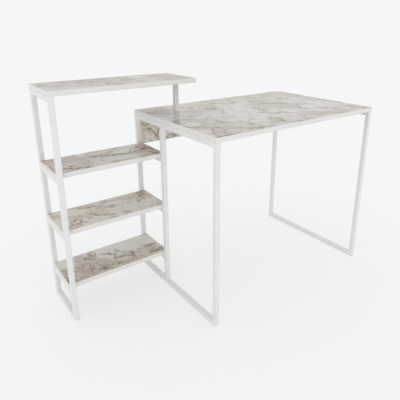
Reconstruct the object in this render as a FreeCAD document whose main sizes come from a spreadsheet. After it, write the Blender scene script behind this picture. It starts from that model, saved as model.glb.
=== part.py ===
# Computer desk with an open shelf unit on its left: square steel tube frames and edge-banded boards.
# Millimetres, +X right, +Y back, +Z up. The origin is on the floor under the middle of the whole part.
import FreeCAD, Part
import math
import os
import re
import Sketcher

# Driving dimensions: alias, value, meaning
sizes = (
    ("desk_width", "877", "desk top, left to right"),
    ("desk_depth", "583", "desk top, front to back"),
    ("desk_height", "750", "floor to the desk top's upper face"),
    ("unit_width", "419", "reach of the shelf unit left of the desk"),
    ("unit_depth", "231", "shelf unit, front to back"),
    ("unit_height", "896", "floor to the top shelf's upper face"),
    ("top_shelf_reach", "167", "reach of the top shelf over the desk"),
    ("lower_shelf_height", "155", "floor to the lower shelf's upper face"),
    ("shelf_pitch", "224.5", "upper face to upper face of the lower shelves"),
    ("tube_size", "19", "side of the square tube"),
    ("tube_wall", "1.2", "wall of the square tube"),
    ("tube_radius", "2.5", "outer corner of the square tube"),
    ("board_thick", "18", "desk top and shelves"),
    ("board_corner", "3", "upright corner of a banded board"),
    ("band_thick", "1", "edge band round a board"),
    ("shelf_gap", "0.5", "clearance between a lower shelf and the posts"),
    ("panel_thick", "12", "back panel"),
    ("panel_height", "133", "back panel, top to bottom"),
    ("panel_gap", "1", "clearance round the back panel"),
    ("tab_length", "42", "back panel's tab, out from the leg"),
    ("tab_height", "30", "back panel's tab"),
    ("tab_thick", "2.5", "back panel's tab"),
    ("tab_setback", "3.5", "tab's rear face in front of the legs' rear faces"),
    ("tab_inset", "12", "tab from the panel's upper or lower edge"),
    ("post_inset", "16", "post from the top shelf's right end"),
    ("foot_plate_side", "27", "plate under the post"),
    ("foot_plate_thick", "2", "plate under the post"),
    ("head_plate_side", "60", "plate over the post"),
    ("head_plate_thick", "3", "plate over the post"),
    ("head_screw_inset", "9", "screw from the head plate's edges"),
    ("plate_corner", "2", "upright corner of a plate or tab"),
    ("screw_diameter", "4", "shank of every wood screw"),
    ("screw_bite", "12", "screw's length inside a desk or shelf board"),
    ("panel_screw_bite", "8", "screw's length inside the back panel"),
    ("screw_tip", "4", "screw's point"),
    ("screw_head_diameter", "8", "pan head"),
    ("screw_head_flat", "5", "flat of the pan head"),
    ("screw_head_height", "2.6", "pan head"),
    ("screw_head_rim", "1.1", "upright rim of the pan head"),
    ("hole_clearance", "0.3", "added to a screw's or bolt's diameter"),
    ("shelf_screw_inset", "35", "screw from a cross rail's ends"),
    ("desk_screw_inset", "70", "screw from a top rail's ends"),
    ("bolt_diameter", "6", "post's bolt"),
    ("bolt_head_flats", "10", "post's bolt and nut, across the flats"),
    ("bolt_head_height", "4", "post's bolt"),
    ("bolt_end", "2", "bolt past its nut"),
    ("nut_height", "5", "nut welded in the post"),
    ("washer_diameter", "18", "under the bolt's head"),
    ("washer_thick", "1.6", "under the bolt's head"),
    ("overrun", "5", "reach of a cut past the piece"),
)
desk_screw_count = 3
unit_screw_count = 2

doc = FreeCAD.newDocument("computer_desk")
sheet = doc.addObject("Spreadsheet::Sheet", "Sizes")
for row, (alias, value, meaning) in enumerate(sizes, start=1):
    sheet.set(f"A{row}", meaning)
    sheet.set(f"B{row}", value)
    sheet.setAlias(f"B{row}", alias)
doc.recompute()

sub_parts = []
any_alias = re.compile(r"\b(" + "|".join(size[0] for size in sizes) + r")\b")


def worked_out(text):
    # The texts below name the sheet's cells by their aliases alone
    return any_alias.sub(r"Sizes.\1", text)


def number(text):
    return float(sheet.evalExpression(worked_out(text)))


# Places that several pieces share, as expressions
left = "(-(desk_width + unit_width) / 2)"
desk_left = f"({left} + unit_width)"
desk_right = f"({desk_left} + desk_width)"
front = "(-desk_depth / 2)"
back = "(desk_depth / 2)"
unit_front = f"({back} - unit_depth)"
desk_rail_top = "(desk_height - board_thick)"
unit_rail_top = "(unit_height - board_thick)"
lower_rail_top = "(lower_shelf_height - board_thick)"
cross_length = "(unit_depth - 2 * tube_size)"
cross_start = f"({unit_front} + tube_size)"
tab_back = f"({back} - tab_setback)"
panel_back = f"({tab_back} - tab_thick)"
panel_left = f"({desk_left} + tube_size + panel_gap)"
panel_length = "(desk_width - 2 * tube_size - 2 * panel_gap)"
panel_bottom = f"({desk_rail_top} - panel_gap - panel_height)"
post_left = f"({desk_left} + top_shelf_reach - post_inset - tube_size)"
post_front = f"({back} - unit_depth / 2 - tube_size / 2)"
hole_diameter = "(screw_diameter + hole_clearance)"


def new_body(label):
    body = doc.addObject("PartDesign::Body", label)
    body.Label = label
    sub_parts.append(body)
    return body


def place(part, x, y, z, rotation=FreeCAD.Rotation()):
    part.Placement = FreeCAD.Placement(FreeCAD.Vector(), rotation)
    for axis, text in (("x", x), ("y", y), ("z", z)):
        part.setExpression(f"Placement.Base.{axis}", worked_out(text))


def origin_feature(body, role):
    return next(feature for feature in body.Origin.OriginFeatures if feature.Role == role)


def new_sketch(body, role):
    sketch = body.newObject("Sketcher::SketchObject", f"{body.Label}_sketch")
    sketch.AttachmentSupport = [(origin_feature(body, role), "")]
    sketch.MapMode = "FlatFace"
    return sketch


def dimension(sketch, kind, *geometry, text):
    index = sketch.addConstraint(Sketcher.Constraint(kind, *geometry, number(text)))
    sketch.setExpression(f"Constraints[{index}]", worked_out(text))


def tie(sketch, kind, item, point, text):
    # Distance of a point from the sketch's origin; no text means that it lies on the other axis
    if text:
        dimension(sketch, kind, -1, 1, item, point, text=text)
    else:
        axis = -2 if kind == "DistanceX" else -1
        sketch.addConstraint(Sketcher.Constraint("PointOnObject", item, point, axis))


def draw_outline(sketch, points):
    # Closed straight-sided outline
    flat = [FreeCAD.Vector(number(x or "0"), number(y or "0"), 0) for x, y in points]
    lines = []
    for start, end in zip(flat, flat[1:] + flat[:1]):
        lines.append(sketch.addGeometry(Part.LineSegment(start, end), False))
    for line, follower in zip(lines, lines[1:] + lines[:1]):
        sketch.addConstraint(Sketcher.Constraint("Coincident", line, 2, follower, 1))
    for line, (x, y) in zip(lines, points):
        tie(sketch, "DistanceX", line, 1, x)
        tie(sketch, "DistanceY", line, 1, y)


def draw_rounded_rectangle(sketch, x, y, width, depth, radius):
    x0, y0, r = number(x or "0"), number(y or "0"), number(radius)
    x1, y1 = x0 + number(width), y0 + number(depth)
    ends = (
        ((x0 + r, y0), (x1 - r, y0)),
        ((x1, y0 + r), (x1, y1 - r)),
        ((x1 - r, y1), (x0 + r, y1)),
        ((x0, y1 - r), (x0, y0 + r)),
    )
    centres = ((x1 - r, y0 + r), (x1 - r, y1 - r), (x0 + r, y1 - r), (x0 + r, y0 + r))
    lines = []
    arcs = []
    for quarter, ((start, end), centre) in enumerate(zip(ends, centres)):
        line = Part.LineSegment(FreeCAD.Vector(*start, 0), FreeCAD.Vector(*end, 0))
        circle = Part.Circle(FreeCAD.Vector(*centre, 0), FreeCAD.Vector(0, 0, 1), r)
        arc = Part.ArcOfCircle(circle, (quarter - 1) * math.pi / 2, quarter * math.pi / 2)
        lines.append(sketch.addGeometry(line, False))
        arcs.append(sketch.addGeometry(arc, False))
    for quarter, (line, arc) in enumerate(zip(lines, arcs)):
        follower = lines[(quarter + 1) % len(lines)]
        sketch.addConstraint(Sketcher.Constraint("Tangent", line, 2, arc, 1))
        sketch.addConstraint(Sketcher.Constraint("Tangent", arc, 2, follower, 1))
        direction = "Vertical" if quarter % 2 else "Horizontal"
        sketch.addConstraint(Sketcher.Constraint(direction, line))
    for arc in arcs[1:]:
        sketch.addConstraint(Sketcher.Constraint("Equal", arcs[0], arc))
    bottom, right, top, left_side = lines
    tie(sketch, "DistanceX", left_side, 1, x)
    tie(sketch, "DistanceY", bottom, 1, y)
    dimension(sketch, "DistanceX", left_side, 1, right, 1, text=width)
    dimension(sketch, "DistanceY", bottom, 1, top, 1, text=depth)
    dimension(sketch, "Radius", arcs[0], text=radius)


def draw_circle(sketch, x, y, diameter):
    centre = FreeCAD.Vector(number(x or "0"), number(y or "0"), 0)
    circle = Part.Circle(centre, FreeCAD.Vector(0, 0, 1), number(diameter) / 2)
    item = sketch.addGeometry(circle, False)
    tie(sketch, "DistanceX", item, 3, x)
    tie(sketch, "DistanceY", item, 3, y)
    dimension(sketch, "Diameter", item, text=diameter)


def add_pad(body, sketch, length):
    pad = body.newObject("PartDesign::Pad", f"{body.Label}_pad")
    pad.Profile = sketch
    pad.setExpression("Length", worked_out(length))


def add_pocket(body, sketch, depth, both_sides=False):
    # One-sided pockets go up into a piece from its lower face
    pocket = body.newObject("PartDesign::Pocket", f"{body.Label}_pocket")
    pocket.Profile = sketch
    pocket.SideType = "Symmetric" if both_sides else "One side"
    pocket.Reversed = not both_sides
    pocket.setExpression("Length", worked_out(depth))


# Tubes run along their own Z from 0, with the section's corner on that axis.
# A mitred tube's short side is its own +Y side.
post_turn = FreeCAD.Rotation()
back_post_turn = FreeCAD.Rotation(FreeCAD.Vector(0, 0, 1), 180)
under_rail_turn = FreeCAD.Rotation(FreeCAD.Vector(0, 1, 1), 180)
over_rail_turn = FreeCAD.Rotation(FreeCAD.Vector(1, 0, 0), -90)


def make_tube(label, length, mitred=False, hole_places=()):
    body = new_body(label)
    profile = new_sketch(body, "XY_Plane")
    draw_rounded_rectangle(profile, None, None, "tube_size", "tube_size", "tube_radius")
    inside = "(tube_size - 2 * tube_wall)"
    draw_rounded_rectangle(profile, "tube_wall", "tube_wall", inside, inside, "(tube_radius - tube_wall)")
    add_pad(body, profile, length)
    if mitred:
        cut = new_sketch(body, "YZ_Plane")
        reach = "(tube_size + overrun)"
        draw_outline(cut, ((None, None), (reach, None), (reach, reach)))
        draw_outline(cut, ((None, length), (reach, f"({length} - {reach})"), (reach, length)))
        add_pocket(body, cut, f"2 * {reach}", both_sides=True)
    if hole_places:
        holes = new_sketch(body, "XZ_Plane")
        for spot in hole_places:
            draw_circle(holes, "tube_size / 2", spot, hole_diameter)
        add_pocket(body, holes, "2 * (tube_size + overrun)", both_sides=True)
    return body


def spread(length, inset, count):
    # Even places along a length, the first and last one inset from its ends
    return [f"({inset} + ({length} - 2 * {inset}) * {step} / {count - 1})" for step in range(count)]


def make_rectangle_frame(prefix, post_name, x, y, depth, height, rail_holes):
    # Front and back uprights, floor rail and top rail, mitred at the four corners
    front_post = make_tube(f"{prefix}_front_{post_name}", height, mitred=True)
    place(front_post, x, y, "0", post_turn)
    back_post = make_tube(f"{prefix}_back_{post_name}", height, mitred=True)
    place(back_post, f"{x} + tube_size", f"{y} + {depth}", "0", back_post_turn)
    floor_rail = make_tube(f"{prefix}_floor_rail", depth, mitred=True)
    place(floor_rail, f"{x} + tube_size", y, "0", under_rail_turn)
    top_rail = make_tube(f"{prefix}_top_rail", depth, mitred=True, hole_places=rail_holes)
    place(top_rail, x, y, height, over_rail_turn)


cross_holes = spread(cross_length, "shelf_screw_inset", unit_screw_count)
top_shelf_holes = spread("unit_depth", "(tube_size + shelf_screw_inset)", unit_screw_count)
desk_holes = spread("desk_depth", "desk_screw_inset", desk_screw_count)
shelf_names = ("lower", "middle", "upper")


def make_cross_rails(prefix, x):
    # Short rails that carry one end of each lower shelf
    for step, name in enumerate(shelf_names):
        rail = make_tube(f"{prefix}_{name}_shelf_rail", cross_length, hole_places=cross_holes)
        place(rail, x, cross_start, f"{lower_rail_top} + {step} * shelf_pitch", over_rail_turn)


make_rectangle_frame("ladder", "post", left, unit_front, "unit_depth", unit_rail_top, top_shelf_holes)
make_cross_rails("ladder", left)
make_rectangle_frame("desk_left", "leg", desk_left, front, "desk_depth", desk_rail_top, desk_holes)
make_cross_rails("desk_left", desk_left)
right_frame_left = f"({desk_right} - tube_size)"
make_rectangle_frame("desk_right", "leg", right_frame_left, front, "desk_depth", desk_rail_top, desk_holes)

mid_post = make_tube("desk_left_mid_post", f"({desk_rail_top} - 2 * tube_size)")
place(mid_post, desk_left, unit_front, "tube_size", post_turn)


# Boards and their bands: the local origin is the banded board's lower front left corner.
# Each drilling is a list of spots in the lower face, a diameter and a depth.
def make_board(label, length, depth, thick, drillings, rotation, x, y, z):
    core = new_body(label)
    profile = new_sketch(core, "XY_Plane")
    inner_length = f"({length} - 2 * band_thick)"
    inner_depth = f"({depth} - 2 * band_thick)"
    inner_corner = "(board_corner - band_thick)"
    draw_rounded_rectangle(profile, "band_thick", "band_thick", inner_length, inner_depth, inner_corner)
    add_pad(core, profile, thick)
    for spots, diameter, hole_depth in drillings:
        holes = new_sketch(core, "XY_Plane")
        for hole_x, hole_y in spots:
            draw_circle(holes, hole_x, hole_y, diameter)
        add_pocket(core, holes, hole_depth)
    band = new_body(f"{label}_band")
    outline = new_sketch(band, "XY_Plane")
    draw_rounded_rectangle(outline, None, None, length, depth, "board_corner")
    draw_rounded_rectangle(outline, "band_thick", "band_thick", inner_length, inner_depth, inner_corner)
    add_pad(band, outline, thick)
    for piece in (core, band):
        place(piece, x, y, z, rotation)


flat = FreeCAD.Rotation()
pilot_depth = "(screw_bite + hole_clearance)"
panel_pilot_depth = "(panel_screw_bite + hole_clearance)"
rail_middle = "tube_size / 2"

bolt_x = f"({post_left} - {desk_left} + tube_size / 2)"
bolt_y = f"({post_front} - {front} + tube_size / 2)"
bolt_hole = "(bolt_diameter + hole_clearance)"
desk_rails = (rail_middle, f"(desk_width - {rail_middle})")
desk_spots = [(rail_x, spot) for rail_x in desk_rails for spot in desk_holes]
desk_drillings = ((desk_spots, hole_diameter, pilot_depth), ([(bolt_x, bolt_y)], bolt_hole, "board_thick"))
make_board(
    "desk_top", "desk_width", "desk_depth", "board_thick", desk_drillings,
    flat, desk_left, front, desk_rail_top,
)

shelf_length = "(unit_width + tube_size)"
shelf_depth = f"({cross_length} - 2 * shelf_gap)"
shelf_rails = (rail_middle, f"({shelf_length} - {rail_middle})")
shelf_spots = [(rail_x, f"({spot} - shelf_gap)") for rail_x in shelf_rails for spot in cross_holes]
shelf_drillings = ((shelf_spots, hole_diameter, pilot_depth),)
for step, name in enumerate(shelf_names):
    make_board(
        f"{name}_shelf", shelf_length, shelf_depth, "board_thick", shelf_drillings,
        flat, left, f"{cross_start} + shelf_gap", f"{lower_rail_top} + {step} * shelf_pitch",
    )

head_plate_left = f"({post_left} + tube_size / 2 - head_plate_side / 2)"
head_plate_front = f"({post_front} + tube_size / 2 - head_plate_side / 2)"
head_spots = spread("head_plate_side", "head_screw_inset", unit_screw_count)
top_shelf_spots = [(rail_middle, spot) for spot in top_shelf_holes]
for spot_x in head_spots:
    for spot_y in head_spots:
        drill_x = f"({head_plate_left} - {left} + {spot_x})"
        drill_y = f"({head_plate_front} - {unit_front} + {spot_y})"
        top_shelf_spots.append((drill_x, drill_y))
make_board(
    "top_shelf", "(unit_width + top_shelf_reach)", "unit_depth", "board_thick",
    ((top_shelf_spots, hole_diameter, pilot_depth),), flat, left, unit_front, unit_rail_top,
)

# The back panel stands on its long edge; its drilled face is the one at the back
tab_spots = ("tab_inset", "(panel_height - tab_inset - tab_height)")
tab_reach = "(tab_length - panel_gap) / 2"
panel_spots = []
for drill_x in (tab_reach, f"({panel_length} - {tab_reach})"):
    panel_spots += [(drill_x, f"({spot} + tab_height / 2)") for spot in tab_spots]
upright = FreeCAD.Rotation(FreeCAD.Vector(1, 0, 0), 90)
make_board(
    "back_panel", panel_length, "panel_height", "panel_thick",
    ((panel_spots, hole_diameter, panel_pilot_depth),), upright, panel_left, panel_back, panel_bottom,
)


# Plates and tabs: flat steel with holes right through
def make_plate(label, length, depth, thick, spots, diameter):
    body = new_body(label)
    profile = new_sketch(body, "XY_Plane")
    draw_rounded_rectangle(profile, None, None, length, depth, "plate_corner")
    for hole_x, hole_y in spots:
        draw_circle(profile, hole_x, hole_y, diameter)
    add_pad(body, profile, thick)
    return body


tab_left = f"({desk_left} + tube_size)"
tab_right = f"({desk_right} - tube_size - tab_length)"
for side, tab_x, hole_x in (
    ("left", tab_left, f"(panel_gap + {tab_reach})"),
    ("right", tab_right, f"(tab_length - panel_gap - {tab_reach})"),
):
    for level, spot in zip(("lower", "upper"), tab_spots):
        tab = make_plate(
            f"{side}_{level}_panel_tab", "tab_length", "tab_height", "tab_thick",
            [(hole_x, "tab_height / 2")], hole_diameter,
        )
        place(tab, tab_x, tab_back, f"{panel_bottom} + {spot}", upright)

foot_middle = "foot_plate_side / 2"
foot_plate = make_plate(
    "post_foot_plate", "foot_plate_side", "foot_plate_side", "foot_plate_thick",
    [(foot_middle, foot_middle)], bolt_hole,
)
foot_offset = "(foot_plate_side - tube_size) / 2"
place(foot_plate, f"{post_left} - {foot_offset}", f"{post_front} - {foot_offset}", "desk_height", flat)

head_plate = make_plate(
    "post_head_plate", "head_plate_side", "head_plate_side", "head_plate_thick",
    [(spot_x, spot_y) for spot_x in head_spots for spot_y in head_spots], hole_diameter,
)
place(head_plate, head_plate_left, head_plate_front, f"{unit_rail_top} - head_plate_thick", flat)

post_length = f"({unit_rail_top} - desk_height - foot_plate_thick - head_plate_thick)"
shelf_post = make_tube("top_shelf_post", post_length)
place(shelf_post, post_left, post_front, "desk_height + foot_plate_thick", post_turn)


# Wood screws: pan head below the origin's rail face, point up, repeated along the axes
def make_screws(label, grip, bite, repeats):
    body = new_body(label)
    profile = new_sketch(body, "XZ_Plane")
    head = "screw_head_diameter / 2"
    shank = "screw_diameter / 2"
    tip = f"(screw_head_height + {grip} + {bite})"
    draw_outline(profile, (
        (None, None),
        ("screw_head_flat / 2", None),
        (head, "(screw_head_height - screw_head_rim)"),
        (head, "screw_head_height"),
        (shank, "screw_head_height"),
        (shank, f"({tip} - screw_tip)"),
        (None, tip),
    ))
    turned = body.newObject("PartDesign::Revolution", f"{label}_turned")
    turned.Profile = profile
    turned.ReferenceAxis = (profile, ["V_Axis"])
    doc.recompute()
    rows = body.newObject("PartDesign::MultiTransform", f"{label}_rows")
    rows.Originals = [turned]
    patterns = []
    for role, length, count in repeats:
        pattern = body.newObject("PartDesign::LinearPattern", f"{label}_{role}")
        pattern.Direction = (origin_feature(body, role), [""])
        pattern.setExpression("Length", worked_out(length))
        pattern.Occurrences = count
        patterns.append(pattern)
    rows.Transformations = patterns
    body.Tip = rows
    return body


def place_screws(body, x, y, z):
    place(body, x, y, f"{z} - screw_head_height", flat)


cross_pitch = f"({cross_length} - 2 * shelf_screw_inset)"
shelf_screws = make_screws("shelf_screws", "tube_size", "screw_bite", (
    ("X_Axis", "unit_width", 2),
    ("Y_Axis", cross_pitch, unit_screw_count),
    ("Z_Axis", f"{len(shelf_names) - 1} * shelf_pitch", len(shelf_names)),
))
first_shelf_screw = f"{cross_start} + shelf_screw_inset"
place_screws(shelf_screws, f"{left} + {rail_middle}", first_shelf_screw, f"{lower_rail_top} - tube_size")

top_shelf_screws = make_screws("top_shelf_screws", "tube_size", "screw_bite", (
    ("Y_Axis", cross_pitch, unit_screw_count),
))
place_screws(top_shelf_screws, f"{left} + {rail_middle}", first_shelf_screw, f"{unit_rail_top} - tube_size")

desk_top_screws = make_screws("desk_top_screws", "tube_size", "screw_bite", (
    ("X_Axis", "desk_width - tube_size", 2),
    ("Y_Axis", "desk_depth - 2 * desk_screw_inset", desk_screw_count),
))
place_screws(
    desk_top_screws, f"{desk_left} + {rail_middle}", f"{front} + desk_screw_inset",
    f"{desk_rail_top} - tube_size",
)

head_pitch = "head_plate_side - 2 * head_screw_inset"
head_screws = make_screws("post_head_screws", "head_plate_thick", "screw_bite", (
    ("X_Axis", head_pitch, 2),
    ("Y_Axis", head_pitch, 2),
))
place_screws(
    head_screws, f"{head_plate_left} + head_screw_inset", f"{head_plate_front} + head_screw_inset",
    f"{unit_rail_top} - head_plate_thick",
)

# The panel's screws lie along -Y, driven from the back
panel_screws = make_screws("panel_screws", "tab_thick", "panel_screw_bite", (
    ("X_Axis", f"{panel_length} - 2 * {tab_reach}", 2),
    ("Y_Axis", f"{tab_spots[1]} - {tab_spots[0]}", 2),
))
place(
    panel_screws, f"{panel_left} + {tab_reach}", f"{tab_back} + screw_head_height",
    f"{panel_bottom} + {tab_spots[0]} + tab_height / 2", upright,
)


# The post's bolt comes up through the desk top into a nut inside the tube
def primitive(kind, label, **values):
    piece = doc.addObject(kind, label)
    for name, text in values.items():
        piece.setExpression(name, worked_out(text))
    return piece


def fasten(kind, label, parts):
    joined = doc.addObject(kind, label)
    joined.Label = label
    sub_parts.append(joined)
    if kind == "Part::Cut":
        joined.Base, joined.Tool = parts
    else:
        joined.Shapes = parts
    return joined


corner_radius = "bolt_head_flats / sqrt(3)"
bolt_centre_x = f"{post_left} + tube_size / 2"
bolt_centre_y = f"{post_front} + tube_size / 2"
bolt_length = "washer_thick + board_thick + foot_plate_thick + nut_height + bolt_end"
bolt_head = primitive("Part::Prism", "bolt_head", Circumradius=corner_radius, Height="bolt_head_height")
bolt_shank = primitive("Part::Cylinder", "bolt_shank", Radius="bolt_diameter / 2", Height=bolt_length)
place(bolt_shank, "0", "0", "bolt_head_height")
post_bolt = fasten("Part::MultiFuse", "post_bolt", [bolt_head, bolt_shank])
place(post_bolt, bolt_centre_x, bolt_centre_y, f"{desk_rail_top} - washer_thick - bolt_head_height")

washer_disc = primitive("Part::Cylinder", "washer_disc", Radius="washer_diameter / 2", Height="washer_thick")
washer_bore = primitive("Part::Cylinder", "washer_bore", Radius=f"{bolt_hole} / 2", Height="washer_thick")
post_washer = fasten("Part::Cut", "post_washer", [washer_disc, washer_bore])
place(post_washer, bolt_centre_x, bolt_centre_y, f"{desk_rail_top} - washer_thick")

nut_block = primitive("Part::Prism", "nut_block", Circumradius=corner_radius, Height="nut_height")
nut_bore = primitive("Part::Cylinder", "nut_bore", Radius=f"{bolt_hole} / 2", Height="nut_height")
post_nut = fasten("Part::Cut", "post_nut", [nut_block, nut_bore])
place(post_nut, bolt_centre_x, bolt_centre_y, "desk_height + foot_plate_thick")

doc.recompute()
for item in doc.Objects:
    if "Invalid" in item.State or "Error" in item.State:
        raise RuntimeError(f"{item.Label} failed: {item.State}")
for part in sub_parts:
    if part.Shape.isNull() or not part.Shape.isValid():
        raise RuntimeError(f"{part.Label} has no valid shape")

os.makedirs("parts", exist_ok=True)
for part in sub_parts:
    part.Shape.exportStep(f"parts/{part.Label}.step")
    print(part.Label, len(part.Shape.Solids), "solid(s),", round(part.Shape.Volume), "cubic mm")
print(len(sub_parts), "sub-parts")
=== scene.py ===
import math
import bpy
import numpy as np
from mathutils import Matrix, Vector


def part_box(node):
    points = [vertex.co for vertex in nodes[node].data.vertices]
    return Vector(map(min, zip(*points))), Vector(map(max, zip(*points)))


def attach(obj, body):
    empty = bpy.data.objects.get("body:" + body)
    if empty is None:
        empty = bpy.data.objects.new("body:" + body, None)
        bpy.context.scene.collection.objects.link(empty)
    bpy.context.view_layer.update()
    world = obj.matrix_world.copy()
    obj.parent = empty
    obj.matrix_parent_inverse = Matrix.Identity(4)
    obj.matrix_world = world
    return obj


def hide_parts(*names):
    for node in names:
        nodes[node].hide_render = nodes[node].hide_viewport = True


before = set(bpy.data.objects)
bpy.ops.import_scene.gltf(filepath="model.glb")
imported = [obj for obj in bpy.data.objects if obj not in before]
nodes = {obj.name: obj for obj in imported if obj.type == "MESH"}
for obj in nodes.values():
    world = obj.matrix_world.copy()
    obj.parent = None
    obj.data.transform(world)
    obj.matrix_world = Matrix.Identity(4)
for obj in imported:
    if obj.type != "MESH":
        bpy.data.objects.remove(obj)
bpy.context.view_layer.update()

mm = 0.001
print("frame loaded,", len(nodes), "nodes")


# small helpers for the shader trees
def newFinish(name):
    finish = bpy.data.materials.new(name)
    finish.use_nodes = True
    tree = finish.node_tree
    tree.nodes.clear()
    skin = tree.nodes.new("ShaderNodeBsdfPrincipled")
    output = tree.nodes.new("ShaderNodeOutputMaterial")
    tree.links.new(skin.outputs["BSDF"], output.inputs["Surface"])
    return finish, tree, skin


def feed(tree, socket, value):  # a socket gets a wire or a plain number
    if isinstance(value, bpy.types.NodeSocket):
        tree.links.new(value, socket)
    else:
        socket.default_value = value


# a noise swings about its middle and mostly stays between low and high
noiseLow, noiseMiddle, noiseHigh = 0.3, 0.5, 0.7


def noise(tree, where, scale, detail=3.0, roughness=0.5, warp=0.0, output="Fac"):
    node = tree.nodes.new("ShaderNodeTexNoise")
    feed(tree, node.inputs["Vector"], where)
    node.inputs["Scale"].default_value = scale
    node.inputs["Detail"].default_value = detail
    node.inputs["Roughness"].default_value = roughness
    node.inputs["Distortion"].default_value = warp
    return node.outputs[output]


def sums(tree, kind, *values):  # one step of arithmetic
    node = tree.nodes.new("ShaderNodeMath")
    node.operation = kind
    for socket, value in zip(node.inputs, values):
        feed(tree, socket, value)
    return node.outputs[0]


def times(tree, one, two):
    return sums(tree, "MULTIPLY", one, two)


def remap(tree, value, low, high, newLow, newHigh):  # from low..high to newLow..newHigh with soft ends
    node = tree.nodes.new("ShaderNodeMapRange")
    node.interpolation_type = "SMOOTHSTEP"
    feed(tree, node.inputs["Value"], value)
    limits = {"From Min": low, "From Max": high, "To Min": newLow, "To Max": newHigh}
    for label, number in limits.items():
        node.inputs[label].default_value = number
    return node.outputs["Result"]


def tint(tree, amount, under, over, kind="MIX"):
    node = tree.nodes.new("ShaderNodeMix")
    node.data_type = "RGBA"
    node.blend_type = kind
    feed(tree, node.inputs["Factor"], amount)
    feed(tree, node.inputs["A"], under)
    feed(tree, node.inputs["B"], over)
    return node.outputs["Result"]


def ramp(tree, value, stops):  # two stops, each a place and a colour
    node = tree.nodes.new("ShaderNodeValToRGB")
    feed(tree, node.inputs["Fac"], value)
    for knob, (place, colour) in zip(node.color_ramp.elements, stops):
        knob.position = place
        knob.color = colour
    return node.outputs["Color"]


def bump(tree, height, strength, distance):
    node = tree.nodes.new("ShaderNodeBump")
    feed(tree, node.inputs["Height"], height)
    node.inputs["Strength"].default_value = strength
    node.inputs["Distance"].default_value = distance
    return node.outputs["Normal"]


def screenColour(red, green, blue):  # 0 to 255 screen values into linear light
    share = np.array((red, green, blue)) / 255
    linear = np.where(share <= 0.04045, share / 12.92, ((share + 0.055) / 1.055) ** 2.4)
    return (*linear.tolist(), 1.0)


def objectPlace(tree):
    return tree.nodes.new("ShaderNodeTexCoord").outputs["Object"]


def shifted(tree, where, shift, turn):  # turned about Z and moved
    node = tree.nodes.new("ShaderNodeMapping")
    tree.links.new(where, node.inputs["Vector"])
    node.inputs["Location"].default_value = shift
    node.inputs["Rotation"].default_value = (0, 0, math.radians(turn))
    return node.outputs["Vector"]


def setGloss(tree, skin, drift, look):
    gloss = remap(tree, drift, noiseLow, noiseHigh, look["glossLow"], look["glossHigh"])
    feed(tree, skin.inputs["Roughness"], gloss)


driftLow, driftHigh = 0.35, 0.65  # a white turns from its shade to its full tone between these


def driftingWhite(tree, drift, look):
    stops = ((driftLow, screenColour(*look["shade"])), (driftHigh, screenColour(*look["white"])))
    return ramp(tree, drift, stops)


# powder coat on the tubes: a fine pebble in the gloss and a slow drift in the white
powderCoat = {"white": (233, 233, 233), "shade": (229, 229, 229), "driftScale": 7.0, "pebbleScale": 750.0,
              "pebbleDepth": 0.06, "pebbleHeight": 0.00025, "glossLow": 0.34, "glossHigh": 0.46}


def makePowderCoat(look):
    finish, tree, skin = newFinish("satin_white_powder_coat")
    where = objectPlace(tree)
    drift = noise(tree, where, look["driftScale"], detail=4.0, roughness=0.6)
    pebble = noise(tree, where, look["pebbleScale"], detail=2.0)
    feed(tree, skin.inputs["Base Color"], driftingWhite(tree, drift, look))
    setGloss(tree, skin, drift, look)
    feed(tree, skin.inputs["Normal"], bump(tree, pebble, look["pebbleDepth"], look["pebbleHeight"]))
    return finish


# white plastic edging of the boards: softer gloss, faint rolled grain
edging = {"white": (230, 228, 226), "shade": (226, 224, 222), "driftScale": 11.0, "grainScale": 320.0,
          "grainDepth": 0.05, "grainHeight": 0.0002, "glossLow": 0.38, "glossHigh": 0.5}


def makeEdging(look):
    finish, tree, skin = newFinish("white_plastic_edging")
    where = objectPlace(tree)
    drift = noise(tree, where, look["driftScale"])
    grain = noise(tree, where, look["grainScale"], roughness=0.6)
    feed(tree, skin.inputs["Base Color"], driftingWhite(tree, drift, look))
    setGloss(tree, skin, grain, look)
    feed(tree, skin.inputs["Normal"], bump(tree, grain, look["grainDepth"], look["grainHeight"]))
    return finish


# zinc plate on screws, bolt, washer and nut: cool grey metal with a cloudy gloss
zinc = {"bright": (178, 181, 186), "dull": (150, 152, 156), "cloudScale": 180.0, "brushScale": 1400.0,
        "brushDepth": 0.08, "brushHeight": 0.0001, "glossLow": 0.26, "glossHigh": 0.44}


def makeZinc(look):
    finish, tree, skin = newFinish("bright_zinc_plate")
    where = objectPlace(tree)
    cloud = noise(tree, where, look["cloudScale"], detail=4.0, roughness=0.6)
    brush = noise(tree, where, look["brushScale"], detail=2.0)
    stops = ((noiseLow, screenColour(*look["dull"])), (noiseHigh, screenColour(*look["bright"])))
    feed(tree, skin.inputs["Base Color"], ramp(tree, cloud, stops))
    skin.inputs["Metallic"].default_value = 1.0
    setGloss(tree, skin, cloud, look)
    feed(tree, skin.inputs["Normal"], bump(tree, brush, look["brushDepth"], look["brushHeight"]))
    return finish


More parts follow.
